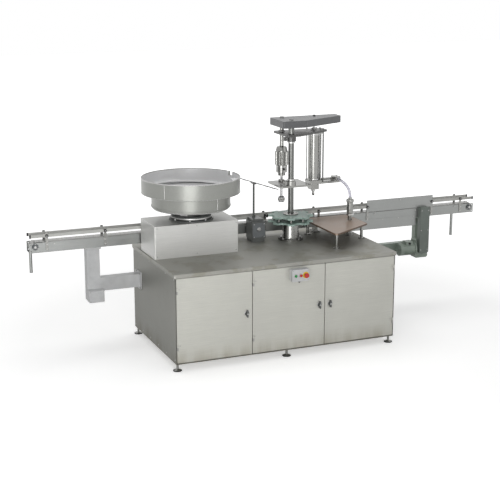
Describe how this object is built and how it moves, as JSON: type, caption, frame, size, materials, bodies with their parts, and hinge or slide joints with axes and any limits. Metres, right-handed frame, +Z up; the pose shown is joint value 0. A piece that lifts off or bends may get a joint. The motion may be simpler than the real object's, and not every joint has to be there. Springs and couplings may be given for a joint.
{
  "type": "oil filling machine",
  "caption": "Monobloc oil filling and capping machine: cabinet, cap feeder bowl, indexing star wheel, lifting yoke with dosing piston and capping spindle, and a slat conveyor.",
  "frame": {"origin": "on the floor, below the middle of the whole machine", "axes": "+X along the conveyor to its infeed end, +Y from the operator's side to the back, +Z up"},
  "size_m": [4.21, 1.267, 1.845],
  "materials": {
    "cabinet_steel": "brushed",
    "frame_steel": "satin",
    "polished_steel": "fine brushed",
    "bright_rod": "polished",
    "dark_paint": "semi-gloss",
    "green_paint": "semi-gloss",
    "drive_paint": "semi-gloss",
    "box_paint": "satin",
    "star_plastic": "matt",
    "table_board": "matt",
    "rail_plastic": "matt",
    "spring_steel": "dark",
    "bearing_iron": "painted",
    "clear_hose": "clear",
    "start_green": "gloss",
    "stop_red": "gloss"
  },
  "bodies": {
    "machine": {"base_frame": "frame_steel", "levelling_feet": "frame_steel", "floor_pan": "cabinet_steel", "side_panels": "cabinet_steel", "back_panel": "cabinet_steel", "deck_plate": "cabinet_steel", "feeder_plinth": "cabinet_steel", "bowl_base": "dark_paint", "bowl_springs": "spring_steel", "cap_chute": "bright_rod", "chute_stand": "dark_paint", "index_drive": "drive_paint", "mast": "bright_rod", "star_housing": "polished_steel", "lift_cylinder": "polished_steel", "crossbeam": "polished_steel", "guide_arm": "polished_steel", "dosing_cylinder": "polished_steel", "valve_block": "polished_steel", "tie_rods": "bright_rod", "supply_pipe": "polished_steel", "strainer": "polished_steel", "supply_hose": "clear_hose", "loading_table": "table_board", "table_legs": "polished_steel", "conveyor_frame": "cabinet_steel", "wear_strips": "rail_plastic", "slat_chain": "polished_steel", "shaft_bearings": "bearing_iron", "guide_rails": "rail_plastic", "rail_brackets": "polished_steel", "drip_tray": "cabinet_steel", "conveyor_stands": "polished_steel", "left_support": "box_paint", "right_support": "green_paint", "gear_motor": "green_paint", "drive_guard": "dark_paint"},
    "left_door": {"door_left": "cabinet_steel"},
    "middle_door": {"door_middle": "cabinet_steel", "control_box": "box_paint"},
    "right_door": {"door_right": "cabinet_steel"},
    "left_latch": {"latch_left": "dark_paint"},
    "middle_latch": {"latch_middle": "dark_paint"},
    "right_latch": {"latch_right": "dark_paint"},
    "start": {"start_button": "start_green"},
    "stop": {"stop_button": "stop_red"},
    "mushroom": {"emergency_stop": "stop_red"},
    "bowl": {"feeder_bowl": "polished_steel"},
    "star": {"star_shaft": "polished_steel", "star_disc_lower": "star_plastic", "star_disc_upper": "star_plastic", "star_spacers": "polished_steel"},
    "yoke": {"lift_yoke": "dark_paint", "lift_rod": "bright_rod", "dosing_piston": "bright_rod", "capping_motor": "polished_steel"},
    "spindle": {"capping_spindle": "bright_rod"},
    "left_wheel": {"left_end_wheel": "bearing_iron"},
    "driven_wheel": {"drive_wheel": "bearing_iron"},
    "right_wheel": {"right_end_wheel": "bearing_iron"}
  },
  "joints": [
    {"name": "left_door_hinge", "type": "hinge", "parent": "machine", "child": "left_door", "pos_m": [-1.158, -0.556, 0.4], "axis": [0, 0, 1], "range_deg": [-110, 0]},
    {"name": "middle_door_hinge", "type": "hinge", "parent": "machine", "child": "middle_door", "pos_m": [-0.51467, -0.556, 0.4], "axis": [0, 0, 1], "range_deg": [-110, 0]},
    {"name": "right_door_hinge", "type": "hinge", "parent": "machine", "child": "right_door", "pos_m": [0.758, -0.556, 0.4], "axis": [0, 0, 1], "range_deg": [0, 110]},
    {"name": "left_latch_turn", "type": "hinge", "parent": "left_door", "child": "left_latch", "pos_m": [-0.56967, -0.55, 0.42], "axis": [0, 1, 0], "range_deg": [0, 90]},
    {"name": "middle_latch_turn", "type": "hinge", "parent": "middle_door", "child": "middle_latch", "pos_m": [0.07367, -0.55, 0.42], "axis": [0, 1, 0], "range_deg": [0, 90]},
    {"name": "right_latch_turn", "type": "hinge", "parent": "right_door", "child": "right_latch", "pos_m": [0.16967, -0.55, 0.42], "axis": [0, 1, 0], "range_deg": [-90, 0]},
    {"name": "start_press", "type": "slide", "parent": "middle_door", "child": "start", "axis": [0, 1, 0], "range_m": [0, 0.004], "stiffness_N_per_m": 400},
    {"name": "stop_press", "type": "slide", "parent": "middle_door", "child": "stop", "axis": [0, 1, 0], "range_m": [0, 0.004], "stiffness_N_per_m": 400},
    {"name": "mushroom_press", "type": "slide", "parent": "middle_door", "child": "mushroom", "axis": [0, 1, 0], "range_m": [0, 0.006], "stiffness_N_per_m": 400},
    {"name": "bowl_shake", "type": "hinge", "parent": "machine", "child": "bowl", "pos_m": [-0.785, 0.145, 1.17], "axis": [0, 0, 1], "range_deg": [-0.8, 0.8], "stiffness_Nm_per_rad": 2000},
    {"name": "star_index", "type": "hinge", "parent": "machine", "child": "star", "pos_m": [0.15, 0.2, 0.955], "axis": [0, 0, 1], "continuous": true},
    {"name": "yoke_lift", "type": "slide", "parent": "machine", "child": "yoke", "axis": [0, 0, 1], "range_m": [0, 0.1]},
    {"name": "spindle_spin", "type": "hinge", "parent": "yoke", "child": "spindle", "pos_m": [0.15, 0.4, 1.2], "axis": [0, 0, 1], "continuous": true},
    {"name": "driven_wheel_turn", "type": "hinge", "parent": "machine", "child": "driven_wheel", "pos_m": [1.56, 0.4, 0.90162], "axis": [0, 1, 0], "continuous": true},
    {"name": "left_wheel_turn", "type": "hinge", "parent": "machine", "child": "left_wheel", "pos_m": [-2.0574, 0.4, 0.90162], "axis": [0, 1, 0], "continuous": true},
    {"name": "right_wheel_turn", "type": "hinge", "parent": "machine", "child": "right_wheel", "pos_m": [2.0574, 0.4, 0.90162], "axis": [0, 1, 0], "continuous": true}
  ],
  "couplings": [
    {"joint": "left_wheel_turn", "follows": "driven_wheel_turn", "ratio": 1},
    {"joint": "right_wheel_turn", "follows": "driven_wheel_turn", "ratio": 1}
  ]
}
